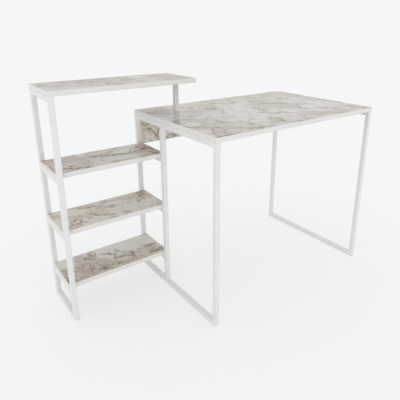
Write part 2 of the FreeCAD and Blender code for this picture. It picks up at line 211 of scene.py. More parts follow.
# marble laminate: pale stone with warm clouds, seams between its pieces, and what each board has of its own.
# rest is how much of it is warm stone, pale its palest tone, lift its brightness, blush its turn from sand
# to rose, ink the strength of its dark lines. That brightness is painted light and shade: the boards that sit
# in shade, the shelves under the top shelf and the back panel, are made brighter, and the top shelf darker.
# Places are mm from the left and from the front, or from the foot if upright.
# Marks are soft ovals (place, half length, half width, turn in degrees, depth) that stain above 0 and clear
# below 0. Veins are chains of thin strokes (half width, depth, places). Joins are faint veins between those,
# all of one width and depth, given by their places alone
marble = {
    "rose": (194, 181, 171), "sand": (190, 186, 168), "taupe": (170, 157, 143),
    "brown": (130, 115, 104), "olive": (131, 126, 107), "dark": (82, 75, 65),
    "bendScale": 7.0, "bendReach": 0.045, "raggedScale": 36.0, "raggedReach": 0.010, "stainBend": 0.4,
    "cloudScale": 5.0, "cloudDepth": 1.1, "warmFrom": 0.38, "warmTo": 0.54, "stainGain": 1.6,
    "clearGain": 2.0, "hueScale": 6.0, "hueFrom": 0.36, "hueTo": 0.64, "blotScale": 18.0, "blotDepth": 0.55,
    "fleckScale": 85.0, "fleckDepth": 0.7, "spotFrom": 0.5, "spotTo": 0.7,
    "rimWide": 0.05, "rimDepth": 0.5, "paleVeins": 0.4, "comesScale": 12.0, "comesFrom": 0.4, "comesTo": 0.62,
    "broadWeb": 9.0, "broadLine": 0.09, "broadDepth": 0.4,
    "fineWeb": 26.0, "fineLine": 0.075, "fineDepth": 0.42,
    "streakScale": 80.0, "streakWarp": 0.4, "streakFrom": 0.35, "streakTo": 0.65, "streakLow": 0.3,
    "streakHigh": 1.6, "coreFrom": 0.26, "coreTo": 0.66, "coreDepth": 0.55,
    "traceScale": 10.0, "traceReach": 0.032, "traceRagged": 0.009, "joinWide": 11, "joinDepth": 0.26,
    "veinOverlap": 0.95, "veinSwell": 1.1, "veinFrom": 0.04, "veinTo": 0.42, "bodyDepth": 0.7,
    "breakTo": 0.6, "breakLow": 0.5, "spineFrom": 0.3, "spineTo": 0.64, "spineDepth": 1.0,
    "threadScale": 46.0, "threadWide": 0.06, "threadDepth": 0.4,
    "grainScale": 60.0, "grainLow": 0.992, "grainHigh": 1.008, "ior": 1.4,
    "glossLow": 0.15, "glossHigh": 0.23, "rippleScale": 420.0, "rippleDepth": 0.02, "rippleHeight": 0.0001,
}
boards = {
    "desk_top": {
        "shift": (3.1, 1.7, 0.4), "turn": 28, "upright": False, "rest": 0.46,
        "pale": (206, 203, 197), "paintedLightAndShade": 0.99, "blush": 0, "ink": 1.15,
        "marks": (
            # the broad mark at 96, 501 on this row darkens the desk's back left corner under the top shelf:
            # painted shade of the top shelf
            (299, 420, 62, 98, -28, 0.15), (169, 394, 55, 88, -48, 0.12), (96, 501, 47, 92, -31, 0.17),
            (581, 316, 97, 179, -22, 0.13), (134, 158, 63, 83, -42, 0.14), (211, 72, 62, 74, -26, 0.14),
            (363, 84, 47, 76, -36, 0.16), (62, 28, 41, 39, -44, 0.18), (722, 52, 56, 77, -30, 0.15),
            (757, 520, 84, 95, -36, 0.12), (454, 263, 31, 75, -16, 0.2), (22, 282, 27, 49, -36, 0.15),
            (561, 66, 58, 69, -46, 0.1), (474, 491, 34, 67, -36, 0.12), (349, 288, 72, 109, -24, -0.2),
            (777, 187, 112, 100, -44, -0.2), (503, 134, 54, 88, -36, -0.16), (47, 203, 52, 42, -26, -0.15),
            (22, 100, 38, 35, -46, -0.17), (508, 450, 53, 67, -36, -0.14), (525, 206, 52, 48, -20, -0.12),
            (348, 175, 53, 51, -41, -0.14), (140, 289, 40, 39, -36, -0.1), (658, 169, 54, 59, -36, -0.12),
            (770, 467, 169, 143, 7, 0.1), (555, 316, 157, 83, -33, -0.07), (279, 490, 127, 120, -45, 0.08),
            (113, 385, 88, 70, 63, -0.06), (151, 231, 106, 101, 47, -0.08), (90, 36, 61, 51, 43, -0.09),
            (323, 45, 96, 69, -26, 0.1), (600, 51, 111, 83, -11, 0.1), (811, 33, 102, 71, -11, 0.1),
            (837, 217, 94, 66, 20, 0.06), (509, 466, 109, 67, 46, 0.06),
        ),
        "veins": (
            (13, 0.85, 260, 418, 275, 396, 303, 367), (13, 0.8, 264, 424, 267, 407),
            (13, 0.75, 343, 508, 382, 482, 430, 453), (9, 0.6, 430, 453, 469, 456),
            (5, 0.6, 481, 538, 463, 493, 441, 451), (11, 0.6, 349, 564, 377, 546),
            (13, 0.75, 11, 476, 29, 478, 55, 473), (11, 0.65, 8, 458, 45, 440, 91, 421),
            (13, 0.5, 44, 531, 58, 513, 78, 488), (11, 0.55, 177, 508, 205, 487, 236, 469),
            (10, 0.5, 147, 370, 194, 343), (9, 0.5, 125, 338, 182, 305),
            (10, 0.6, 53, 300, 91, 274, 136, 243), (10, 0.65, 10, 297, 10, 268, 12, 238),
            (8, 0.8, 4, 205, 18, 161, 54, 138, 110, 111), (8, 0.4, 63, 221, 101, 189),
            (7, 0.85, 151, 212, 163, 184, 157, 164, 179, 149), (13, 0.6, 245, 293, 257, 289),
            (5, 0.7, 73, 116, 48, 72, 20, 13), (6, 0.7, 51, 58, 56, 41), (6, 0.9, 1, 7, 26, 5, 70, 1),
            (5, 0.5, 70, 1, 113, -1), (9, 0.6, 328, 290, 365, 268), (6, 0.5, 219, 143, 225, 122),
            (8, 0.75, 223, 91, 252, 73), (8, 0.6, 132, 80, 164, 42, 207, 25), (7, 0.5, 337, 350, 331, 313),
            (13, 0.5, 539, 570, 580, 547), (11, 0.5, 481, 470, 521, 443), (5, 0.45, 169, 241, 171, 200),
            (13, 0.65, 598, 530, 621, 495, 653, 478), (13, 0.85, 701, 425, 724, 389, 740, 357),
            (13, 0.75, 847, 506, 867, 467, 862, 414), (12, 0.6, 775, 568, 819, 552),
            (13, 0.65, 510, 368, 562, 349, 637, 300), (10, 0.6, 531, 286, 566, 258),
            (13, 0.5, 440, 274, 430, 220), (13, 0.55, 381, 223, 424, 196),
            (10, 0.6, 409, 192, 475, 153, 526, 105), (12, 0.8, 475, 158, 495, 143),
            (10, 1, 360, 60, 348, 33, 373, 20, 403, 7), (7, 0.85, 403, 7, 444, 3),
            (11, 0.65, 339, 115, 366, 109, 386, 85), (8, 0.6, 279, 86, 292, 62, 308, 36),
            (7, 0.75, 167, 40, 205, 23, 232, 21), (7, 0.55, 233, 32, 279, 22), (8, 0.5, 569, 224, 566, 192),
            (10, 0.75, 622, 216, 613, 182, 626, 147), (11, 0.65, 782, 274, 818, 261),
            (12, 0.85, 847, 260, 850, 197, 854, 149), (11, 0.6, 680, 147, 715, 104, 773, 84),
            (13, 0.75, 790, 113, 838, 83), (12, 1, 782, 44, 833, 28, 865, 5), (13, 0.75, 620, 61, 635, 27),
            (9, 0.6, 626, 26, 663, 9), (5, 0.6, 513, 110, 487, 61, 477, 31), (8, 0.8, 463, 19, 507, 16),
            (9, 0.45, 556, 121, 645, 50, 712, 19), (10, 0.4, 668, 100, 706, 66), (8, 0.55, 716, 27, 758, 17),
            (6, 0.5, 14, 387, 42, 312), (10, 0.45, 275, 517, 307, 475), (8, 0.4, 83, 332, 132, 291),
            (11, 0.45, 543, 454, 602, 418), (11, 0.4, 687, 253, 741, 192), (7, 0.4, 429, 115, 456, 65),
        ),
        "joins": (
            (346, 505, 328, 442, 282, 396), (441, 451, 375, 393, 331, 313), (303, 367, 287, 307, 255, 290),
            (91, 421, 79, 363, 42, 312, 12, 238), (236, 469, 183, 423, 147, 370), (182, 305, 169, 241),
            (136, 243, 84, 205, 54, 138), (110, 111, 73, 116), (179, 149, 219, 143),
            (365, 268, 322, 183, 223, 91), (252, 73, 233, 32), (164, 42, 122, 26, 70, 1),
            (521, 443, 510, 368), (653, 478, 775, 568), (740, 357, 702, 290, 624, 215),
            (637, 300, 566, 258, 475, 158), (430, 220, 394, 153, 339, 115), (308, 36, 360, 60),
            (626, 147, 683, 145), (526, 105, 487, 61), (818, 261, 847, 260), (854, 149, 791, 130, 766, 89),
            (838, 83, 820, 50, 782, 44), (663, 9, 712, 19), (507, 16, 620, 61),
            (862, 414, 822, 339, 782, 274), (78, 488, 80, 450),
        ),
    },
    "top_shelf": {
        "shift": (7.3, 4.2, 1.1), "turn": 64, "upright": False, "rest": 0.41,
        "pale": (207, 203, 194), "paintedLightAndShade": 0.77, "blush": 0.06, "ink": 1.25,
        "marks": (
            (68, 117, 46, 64, -36, 0.18), (197, 159, 61, 66, -30, 0.18), (275, 80, 41, 75, -44, 0.27),
            (369, 143, 24, 47, -36, 0.21), (511, 94, 86, 82, -32, 0.19), (7, 131, 17, 57, -36, 0.27),
            (526, 27, 32, 53, -36, 0.16), (210, 94, 33, 46, -36, -0.16), (405, 161, 53, 52, -33, -0.34),
            (121, 115, 32, 40, -44, -0.16), (390, 66, 35, 44, -30, -0.16), (287, 4, 29, 34, -30, -0.14),
            (24, 131, 96, 51, 83, 0.14), (128, 135, 101, 71, -86, 0.1), (327, 136, 133, 94, 76, 0.12),
            (509, 155, 128, 99, 69, 0.14),
        ),
        "veins": (
            (8, 1, 5, 157, 8, 107), (8, 0.65, 19, 174, 29, 127), (17, 0.8, 142, 144, 174, 138, 216, 127),
            (17, 0.5, 153, 206, 187, 202), (17, 1, 227, 56, 254, 59), (17, 0.95, 247, 28, 282, 18),
            (17, 0.75, 315, 203, 351, 196), (17, 0.75, 318, 146, 351, 133, 398, 122, 435, 114),
            (17, 0.6, 447, 141, 479, 152, 513, 161), (11, 0.6, 556, 151, 553, 23),
            (17, 0.5, 467, 21, 537, -8), (16, 0.45, 49, 194, 103, 194), (13, 0.45, 44, 98, 96, 84),
            (16, 0.5, 241, 169, 282, 169), (15, 0.45, 319, 69, 400, 45), (15, 0.45, 157, 75, 212, 60),
            (17, 0.7, 60, 195, 150, 197, 240, 196, 311, 194),
        ),
        "joins": (
            (26, 129, 60, 195), (96, 84, 142, 144), (240, 196, 241, 169), (216, 127, 212, 60, 227, 56),
            (311, 194, 318, 146), (254, 59, 294, 102, 348, 136), (435, 114, 400, 45), (513, 161, 556, 151),
            (553, 23, 505, 8),
        ),
    },
    "upper_shelf": {
        "shift": (1.9, 8.6, 2.3), "turn": 12, "upright": False, "rest": 0.44,
        "pale": (208, 204, 195), "paintedLightAndShade": 1.1, "blush": 0.12, "ink": 1.0,
        "marks": (
            (187, 117, 20, 13, 60, 0.42), (235, 107, 46, 15, -14, 0.34), (292, 88, 52, 13, -20, 0.3),
            (348, 72, 46, 15, -14, 0.26), (404, 98, 70, 36, 75, 0.28), (388, 142, 34, 16, 50, 0.34),
            (422, 50, 44, 22, 80, 0.25), (368, 122, 32, 14, 55, 0.22), (430, 168, 46, 22, 70, 0.24),
            (86, 20, 66, 15, -25, 0.4), (70, 50, 28, 13, 60, 0.28), (12, 62, 50, 16, 75, 0.26),
            (130, 112, 95, 62, 0, 0.12), (270, 142, 28, 11, 60, 0.24), (110, 165, 30, 14, 40, 0.18),
            (235, 15, 24, 10, 30, 0.18), (318, 128, 56, 32, 20, -0.24), (246, 48, 70, 32, 10, -0.22),
            (332, 28, 74, 26, 0, -0.2), (215, 160, 40, 22, 10, -0.12), (316, 44, 92, 26, -8, -0.1),
            (111, 123, 88, 65, -73, -0.06), (192, 173, 59, 41, 86, 0.08), (409, 58, 87, 57, 67, -0.1),
            (70, 29, 58, 41, -58, 0.08),
        ),
        "veins": (
            (11, 1, 175, 113, 191, 119), (11, 0.95, 188, 113, 206, 111, 227, 105, 248, 95, 271, 89),
            (11, 0.9, 271, 89, 301, 88, 325, 83, 358, 76), (8, 0.7, 358, 76, 379, 81, 406, 88),
            (9, 0.6, 204, 131, 228, 128, 252, 123), (6, 0.6, 261, 154, 261, 125, 276, 138, 295, 145),
            (4, 0.75, 317, 92, 345, 118, 368, 153), (11, 0.9, 384, 145, 398, 134),
            (9, 0.7, 352, 103, 367, 83), (11, 0.75, 381, 103, 411, 105),
            (10, 0.95, 37, 39, 57, 32, 79, 23, 108, 9, 131, 9), (11, 0.9, 67, 46, 83, 53),
            (7, 0.8, 79, 184, 102, 174, 104, 140), (8, 0.65, 71, 159, 89, 147), (8, 0.5, 198, 168, 230, 167),
            (8, 0.5, 114, 141, 160, 134), (8, 0.7, 8, 181, 34, 168), (4, 0.6, 11, 111, 7, 50),
            (11, 0.7, 398, 48, 423, 9), (7, 0.6, 427, 143, 423, 75), (8, 0.6, 233, 15, 250, 16),
            (8, 0.4, 179, 51, 203, 50), (4, 0.45, 110, 108, 112, 71, 127, 49), (4, 0.4, 139, 102, 144, 53),
            (8, 0.45, 279, 175, 339, 167),
        ),
        "joins": (),
    },
    "middle_shelf": {
        "shift": (5.5, 2.9, 3.7), "turn": 47, "upright": False, "rest": 0.42,
        "pale": (208, 204, 196), "paintedLightAndShade": 1.1, "blush": 0.02, "ink": 0.62,
        "marks": (
            (412, 166, 44, 28, 55, 0.38), (390, 132, 52, 20, 62, 0.34), (356, 90, 18, 10, 60, 0.42),
            (402, 116, 36, 11, 58, 0.24), (146, 160, 42, 13, 10, 0.3), (178, 148, 32, 14, 0, 0.18),
            (242, 112, 70, 44, 30, 0.05), (200, 132, 36, 14, 40, 0.2), (246, 112, 24, 16, 0, 0.22),
            (190, 48, 44, 10, -40, 0.32), (216, 30, 26, 9, -30, 0.26), (270, 20, 24, 20, 0, 0.3),
            (66, 70, 36, 16, 30, 0.24), (86, 46, 36, 11, 60, 0.3), (58, 34, 30, 22, 0, 0.2),
            (100, 106, 22, 11, 60, 0.22), (286, 165, 40, 16, 10, 0.14), (100, 132, 56, 32, 0, -0.26),
            (168, 40, 40, 24, 10, -0.22), (360, 48, 80, 44, 20, -0.16), (300, 130, 34, 24, 0, -0.1),
            (68, 165, 74, 28, -6, -0.22), (338, 156, 64, 26, 8, 0.15), (398, 52, 44, 36, -10, -0.18),
            (20, 92, 36, 58, 12, -0.24), (187, 139, 81, 49, -45, -0.12), (261, 132, 45, 35, -88, -0.1),
            (342, 144, 91, 68, 77, 0.12), (57, 15, 55, 38, -55, 0.16), (186, 43, 89, 45, -41, 0.08),
        ),
        "veins": (
            (8, 0.75, 123, 160, 146, 154, 173, 157), (10, 1, 348, 86, 360, 89),
            (8, 0.85, 343, 182, 360, 181, 380, 182), (11, 0.95, 380, 182, 398, 178, 422, 174),
            (6, 0.8, 381, 159, 382, 133, 396, 145, 413, 153), (5, 0.85, 406, 133, 402, 113),
            (4, 0.7, 365, 166, 363, 128, 362, 108), (4, 0.5, 376, 76, 393, 90),
            (7, 0.7, 177, 151, 200, 137, 214, 129, 219, 100), (8, 0.75, 231, 112, 251, 102),
            (8, 0.85, 144, 80, 161, 75, 176, 51, 202, 41), (8, 0.8, 200, 33, 225, 26),
            (7, 0.75, 192, 5, 216, 7), (5, 0.5, 132, 59, 157, 60), (8, 0.8, 256, 31, 278, 4),
            (7, 0.7, 248, 6, 269, -1), (6, 0.9, 84, 51, 93, 37, 111, 31), (4, 0.85, 86, 51, 74, 18, 80, 2),
            (7, 0.6, 54, 66, 69, 69, 89, 68), (4, 0.95, 43, 51, 38, 25, 31, 0), (7, 0.6, 52, 37, 76, 29),
            (6, 0.55, 92, 87, 118, 81), (5, 1, 1, 44, 4, 11), (5, 0.5, 286, 132, 299, 117, 303, 96),
            (7, 0.45, 232, 177, 257, 155), (6, 0.45, 197, 174, 230, 145), (4, 0.45, 187, 106, 202, 70),
            (5, 0.4, 244, 77, 266, 66), (7, 0.45, 258, 187, 299, 175),
        ),
        "joins": (),
    },
    "lower_shelf": {
        "shift": (9.1, 6.3, 5.2), "turn": 81, "upright": False, "rest": 0.42,
        "pale": (208, 206, 200), "paintedLightAndShade": 1.08, "blush": 0.04, "ink": 0.68,
        "marks": (
            (150, 166, 24, 20, 70, 0.4), (136, 136, 42, 13, -15, 0.4), (86, 150, 30, 12, 60, 0.2),
            (150, 60, 170, 74, 0, 0.16), (112, 46, 36, 10, 58, 0.4), (166, 26, 48, 18, -10, 0.4),
            (160, 44, 32, 14, 20, 0.26), (215, 30, 28, 12, 0, 0.26), (240, 106, 32, 10, 70, 0.36),
            (246, 70, 38, 11, -15, 0.32), (302, 66, 34, 11, 75, 0.46), (284, 60, 38, 9, -25, 0.34),
            (255, 28, 30, 12, 20, 0.16), (384, 26, 34, 16, 10, 0.6), (420, 22, 30, 16, 20, 0.5),
            (394, 86, 46, 15, 0, 0.38), (396, 56, 18, 20, 0, 0.24), (210, 126, 46, 11, -30, 0.24),
            (60, 90, 36, 14, 60, 0.2), (335, 152, 110, 44, 0, -0.34), (232, 160, 46, 32, 0, -0.22),
            (4, 168, 30, 34, 8, -0.22), (408, 27, 36, 19, 15, 0.5), (402, 40, 40, 30, 12, 0.2),
            (14, 88, 56, 36, 77, 0.24), (89, 152, 67, 40, 80, 0.14), (206, 90, 103, 47, -40, -0.1),
            (395, 45, 68, 59, -59, 0.12), (165, 7, 82, 36, -40, 0.1),
        ),
        "veins": (
            (7, 0.85, 139, 169, 141, 150, 159, 150, 167, 162), (8, 1, 104, 140, 123, 140, 142, 130, 159, 128),
            (5, 0.8, 194, 131, 228, 108), (6, 0.95, 231, 107, 233, 93),
            (5, 0.7, 243, 136, 246, 117, 265, 108, 289, 86), (7, 0.95, 289, 86, 304, 70, 305, 57),
            (6, 0.9, 266, 65, 286, 53, 306, 45), (4, 0.85, 305, 65, 296, 39, 292, 18),
            (6, 0.9, 220, 81, 232, 66, 249, 63), (6, 0.8, 203, 30, 223, 28, 238, 21),
            (6, 0.9, 150, 49, 169, 46, 181, 34, 196, 37), (8, 0.9, 150, 27, 170, 19),
            (5, 0.7, 135, 24, 151, 20), (5, 0.75, 169, 13, 186, 12), (4, 0.85, 110, 69, 106, 47, 107, 28),
            (4, 0.8, 125, 67, 123, 52, 111, 39), (4, 0.6, 55, 100, 74, 94, 69, 70), (6, 0.6, 83, 85, 97, 82),
            (8, 0.8, 358, 93, 381, 83, 399, 79, 421, 81), (6, 0.6, 385, 59, 394, 43),
            (11, 1, 373, 29, 386, 25), (8, 1, 385, 27, 401, 21, 425, 14), (11, 1, 416, 33, 434, 29),
            (5, 0.5, 322, 81, 350, 73), (6, 0.55, 330, 58, 361, 47), (4, 0.6, 3, 128, 10, 105),
            (5, 1, 0, 51, 1, 9), (8, 0.9, 25, 6, 35, 5), (6, 0.65, 257, 27, 275, 22),
            (5, 0.55, 100, 112, 127, 94), (5, 0.5, 159, 108, 185, 93), (5, 0.5, 138, 78, 159, 76),
            (5, 0.5, 260, 86, 279, 76), (4, 0.5, 89, 61, 95, 44),
        ),
        "joins": (),
    },
    "back_panel": {
        "shift": (2.9, 5.1, 6.6), "turn": 35, "upright": True, "rest": 0.36,
        "pale": (206, 204, 199), "paintedLightAndShade": 1.37, "blush": -0.01, "ink": 0.65,
        "marks": (
            (36, 60, 18, 12, -35, 0.6), (60, 45, 17, 9, -30, 0.5), (72, 34, 15, 10, -60, 0.46),
            (85, 50, 17, 11, 80, 0.52), (82, 30, 15, 13, 70, 0.5), (86, 8, 17, 12, 80, 0.48),
            (10, 96, 24, 15, 0, 0.36), (26, 85, 18, 10, 0, 0.3), (130, 5, 22, 9, 0, 0.4),
            (190, 70, 50, 12, -30, 0.34), (330, 45, 70, 14, 25, 0.36), (420, 85, 40, 22, -15, 0.3),
            (560, 60, 80, 12, -22, 0.34), (700, 40, 46, 24, 35, 0.3), (780, 95, 50, 14, 10, 0.34),
            (32, 28, 44, 28, 0, -0.12), (250, 95, 70, 30, 10, -0.2), (480, 30, 70, 26, 0, -0.2),
            # the patch at 165, 15 on this row is a darker strip along the panel's foot, just right of the
            # desk's mid post
            (650, 95, 60, 24, 10, -0.18), (165, 15, 62, 22, 8, 0.3), (41, 15, 46, 32, -15, 0.12),
        ),
        "veins": (
            (7, 0.8, -1, 100, 14, 84, 26, 79), (6, 1, 28, 62, 42, 54, 52, 47, 67, 41),
            # the vein from 87, 57 down to 84, 3 on this row is a dark line that runs beside the mid post's
            # edge
            (6, 0.85, 67, 39, 73, 22, 66, 7), (7, 0.95, 87, 57, 83, 35, 84, 3), (4, 0.6, 56, 68, 73, 53),
            (4, 0.6, 8, 71, 23, 61), (4, 0.8, 121, 1, 156, 1, 211, -1), (3, 0.5, 135, 25, 173, 9),
            (6, 0.6, 190, 92, 230, 66, 262, 58), (5, 0.6, 330, 20, 352, 48, 392, 62),
            (6, 0.6, 452, 104, 500, 82, 548, 74), (5, 0.6, 560, 40, 600, 58, 640, 52),
            (6, 0.6, 700, 20, 716, 56, 744, 82), (5, 0.6, 770, 110, 800, 84, 824, 80),
        ),
        "joins": (),
    },
}


def pushed(tree, where, scale, reach):  # coordinates shaken by a noise, at most reach metres each way
    shake = noise(tree, where, scale, roughness=0.55, output="Color")
    centred = tree.nodes.new("ShaderNodeVectorMath")
    centred.operation = "SUBTRACT"
    tree.links.new(shake, centred.inputs[0])
    centred.inputs[1].default_value = (noiseMiddle,) * 3
    added = tree.nodes.new("ShaderNodeVectorMath")
    added.operation = "MULTIPLY_ADD"
    tree.links.new(centred.outputs[0], added.inputs[0])
    added.inputs[1].default_value = (2 * reach,) * 3
    feed(tree, added.inputs[2], where)
    return added.outputs[0]


def markFade(tree, where, low, board, oval):  # 1 at an oval's middle, 0 at its rim
    across, along, halfLong, halfWide, turn = oval
    spot = tree.nodes.new("ShaderNodeMapping")
    spot.vector_type = "TEXTURE"
    tree.links.new(where, spot.inputs["Vector"])
    if board["upright"]:
        spot.inputs["Location"].default_value = (low.x + across * mm, low.y, low.z + along * mm)
        spot.inputs["Rotation"].default_value = (0, math.radians(-turn), 0)
        spot.inputs["Scale"].default_value = (halfLong * mm, 1, halfWide * mm)
    else:
        spot.inputs["Location"].default_value = (low.x + across * mm, low.y + along * mm, low.z)
        spot.inputs["Rotation"].default_value = (0, 0, math.radians(turn))
        spot.inputs["Scale"].default_value = (halfLong * mm, halfWide * mm, 1)
    fade = tree.nodes.new("ShaderNodeTexGradient")
    fade.gradient_type = "SPHERICAL"
    tree.links.new(spot.outputs["Vector"], fade.inputs["Vector"])
    return fade.outputs["Fac"]


def veinLines(tree, where, low, board, look):  # each vein is a chain of thin strokes with pointed ends
    lines = 0.0
    joins = tuple((look["joinWide"], look["joinDepth"], *line) for line in board["joins"])
    for wide, depth, *line in board["veins"] + joins:
        points = np.array(line).reshape(-1, 2)
        for start, end in zip(points[:-1], points[1:]):
            (across, along), run = (start + end) / 2, end - start
            turn = math.degrees(math.atan2(run[1], run[0]))
            halfLong, halfWide = np.hypot(*run) * look["veinOverlap"], wide * look["veinSwell"]
            fade = markFade(tree, where, low, board, (across, along, halfLong, halfWide, turn))
            lines = sums(tree, "MAXIMUM", lines, times(tree, fade, depth))
    return lines


def web(tree, where, scale, line, depth):  # thin lines along the seams between stone pieces
    pieces = tree.nodes.new("ShaderNodeTexVoronoi")
    pieces.feature = "DISTANCE_TO_EDGE"
    feed(tree, pieces.inputs["Vector"], where)
    pieces.inputs["Scale"].default_value = scale
    return remap(tree, pieces.outputs["Distance"], 0.0, line, depth, 0.0)


def makeMarble(name, look, board):
    finish, tree, skin = newFinish("marble_laminate_" + name)
    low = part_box(name)[0]
    tones = ("rose", "sand", "taupe", "brown", "olive", "dark")
    colours = {tone: screenColour(*look[tone]) for tone in tones}
    where = objectPlace(tree)
    moved = shifted(tree, where, board["shift"], board["turn"])
    bent = pushed(tree, moved, look["bendScale"], look["bendReach"])
    bent = pushed(tree, bent, look["raggedScale"], look["raggedReach"])
    clouds = sums(tree, "SUBTRACT", noise(tree, bent, look["cloudScale"], detail=4.0), noiseMiddle)
    # the board's own marks, bent by the same noises so that none keeps a clean rim
    stained = pushed(tree, where, look["bendScale"], look["bendReach"] * look["stainBend"])
    stained = pushed(tree, stained, look["raggedScale"], look["raggedReach"])
    warmth = sums(tree, "MULTIPLY_ADD", clouds, look["cloudDepth"], board["rest"])
    stain = 0.0
    for *oval, depth in board["marks"]:
        fade = markFade(tree, stained, low, board, oval)
        if depth > 0:
            stain = sums(tree, "MULTIPLY_ADD", fade, depth, stain)
        else:
            warmth = sums(tree, "MULTIPLY_ADD", fade, look["clearGain"] * depth, warmth)
    warmth = sums(tree, "MULTIPLY_ADD", stain, look["stainGain"], warmth)
    border = sums(tree, "ABSOLUTE", sums(tree, "SUBTRACT", warmth, look["warmFrom"]))
    rim = remap(tree, border, 0.0, look["rimWide"], look["rimDepth"], 0.0)  # thin line round the warm stone
    warmth = remap(tree, warmth, look["warmFrom"], look["warmTo"], 0.0, 1.0)
    hue = noise(tree, moved, look["hueScale"])
    hue = remap(tree, hue, look["hueFrom"] - board["blush"], look["hueTo"] - board["blush"], 0.0, 1.0)
    warm = tint(tree, hue, colours["sand"], colours["rose"])
    vein = tint(tree, hue, colours["olive"], colours["brown"])
    stone = tint(tree, warmth, screenColour(*board["pale"]), warm)
    # blots and flecks, only in the warm stone
    blots = noise(tree, bent, look["blotScale"], detail=2.0, roughness=0.55)
    blots = remap(tree, blots, look["spotFrom"], look["spotTo"], 0.0, look["blotDepth"])
    stone = tint(tree, times(tree, blots, warmth), stone, colours["taupe"])
    flecks = noise(tree, bent, look["fleckScale"], detail=4.0, roughness=0.6)
    flecks = remap(tree, flecks, look["spotFrom"], look["spotTo"], 0.0, look["fleckDepth"])
    stone = tint(tree, times(tree, flecks, warmth), stone, vein)
    # broad and fine seams that come and go, strongest in the warm stone and in the stains
    comes = noise(tree, moved, look["comesScale"])
    comes = remap(tree, comes, look["comesFrom"], look["comesTo"], 0.0, 1.0)
    broad = web(tree, bent, look["broadWeb"], look["broadLine"], look["broadDepth"])
    fine = web(tree, bent, look["fineWeb"], look["fineLine"], look["fineDepth"])
    spread = times(tree, comes, sums(tree, "MAXIMUM", warmth, look["paleVeins"]))
    force = sums(tree, "MULTIPLY_ADD", stain, look["stainGain"], spread)
    seams = sums(tree, "MAXIMUM", broad, times(tree, fine, warmth))
    seams = sums(tree, "MINIMUM", times(tree, seams, force), 1.0)
    seams = sums(tree, "MAXIMUM", seams, times(tree, rim, comes))
    stone = tint(tree, seams, stone, vein)
    # dark cores of the stains, streaked
    streaks = noise(tree, stained, look["streakScale"], detail=5.0, roughness=0.65, warp=look["streakWarp"])
    core = remap(tree, streaks, look["streakFrom"], look["streakTo"], look["streakLow"], look["streakHigh"])
    core = times(tree, core, stain)
    core = remap(tree, core, look["coreFrom"], look["coreTo"], 0.0, look["coreDepth"] * board["ink"])
    # the board's own veins: a soft body and a dark spine along its middle, both broken by the streaks
    traced = pushed(tree, where, look["traceScale"], look["traceReach"])
    traced = pushed(tree, traced, look["raggedScale"], look["traceRagged"])
    lines = veinLines(tree, traced, low, board, look)
    broken = remap(tree, streaks, look["streakFrom"], look["breakTo"], look["breakLow"], 1.0)
    spine = times(tree, lines, broken)
    spine = remap(tree, spine, look["spineFrom"], look["spineTo"], 0.0, look["spineDepth"] * board["ink"])
    body = remap(tree, lines, look["veinFrom"], look["veinTo"], 0.0, board["ink"])
    body = times(tree, body, broken)
    stone = tint(tree, times(tree, body, look["bodyDepth"]), stone, vein)
    # thin threads run through each body where a finer noise crosses its middle
    level = noise(tree, stained, look["threadScale"], roughness=0.55)
    level = sums(tree, "ABSOLUTE", sums(tree, "SUBTRACT", level, noiseMiddle))
    threads = remap(tree, level, 0.0, look["threadWide"], look["threadDepth"], 0.0)
    threads = sums(tree, "MAXIMUM", times(tree, threads, body), spine)
    stone = tint(tree, sums(tree, "MAXIMUM", core, threads), stone, colours["dark"])
    grain = noise(tree, where, look["grainScale"], roughness=0.6)
    # the board's lift scales its whole colour: painted light on the boards in shade, painted shade on the top
    # shelf
    darkest, lightest = look["grainLow"] * board["paintedLightAndShade"], look["grainHigh"] * board["paintedLightAndShade"]
    shade = remap(tree, grain, noiseLow, noiseHigh, darkest, lightest)
    feed(tree, skin.inputs["Base Color"], tint(tree, 1.0, stone, shade, kind="MULTIPLY"))
    skin.inputs["IOR"].default_value = look["ior"]
    setGloss(tree, skin, grain, look)
    ripple = noise(tree, where, look["rippleScale"], detail=2.0)
    feed(tree, skin.inputs["Normal"], bump(tree, ripple, look["rippleDepth"], look["rippleHeight"]))
    return finish


def finishNode(name, finish):
    piece = nodes[name]
    if not piece.material_slots:
        piece.data.materials.append(finish)
    for held in piece.material_slots:
        held.material = finish


tubeFinish = makePowderCoat(powderCoat)
edgeFinish = makeEdging(edging)
steelFinish = makeZinc(zinc)
steelNodes = [n for n in nodes if n.endswith("screws") or n in ("post_bolt", "post_washer", "post_nut")]
for name in nodes:
    if name in boards:
        finishNode(name, makeMarble(name, marble, boards[name]))
    elif name.endswith("_band"):
        finishNode(name, edgeFinish)
    elif name in steelNodes:
        finishNode(name, steelFinish)
    else:
        finishNode(name, tubeFinish)
print("finishes on", len(nodes), "nodes")


# new pieces: smooth skins with creases where faces meet at more than this angle
sharpFrom = 38.0


# every new piece is a grid of points (rows along, columns round), closed round and capped at its ends.
# Each face has the four corners of a cell, wrapped round the columns, and round the rows too if looped
def gridFaces(rows, columns, loop):
    row = np.arange(rows if loop else rows - 1)
    column = np.arange(columns)
    here, there = row[:, None] * columns, ((row + 1) % rows)[:, None] * columns
    nextColumn = (column + 1) % columns
    return np.stack((here + column, here + nextColumn, there + nextColumn, there + column), -1).reshape(-1, 4)


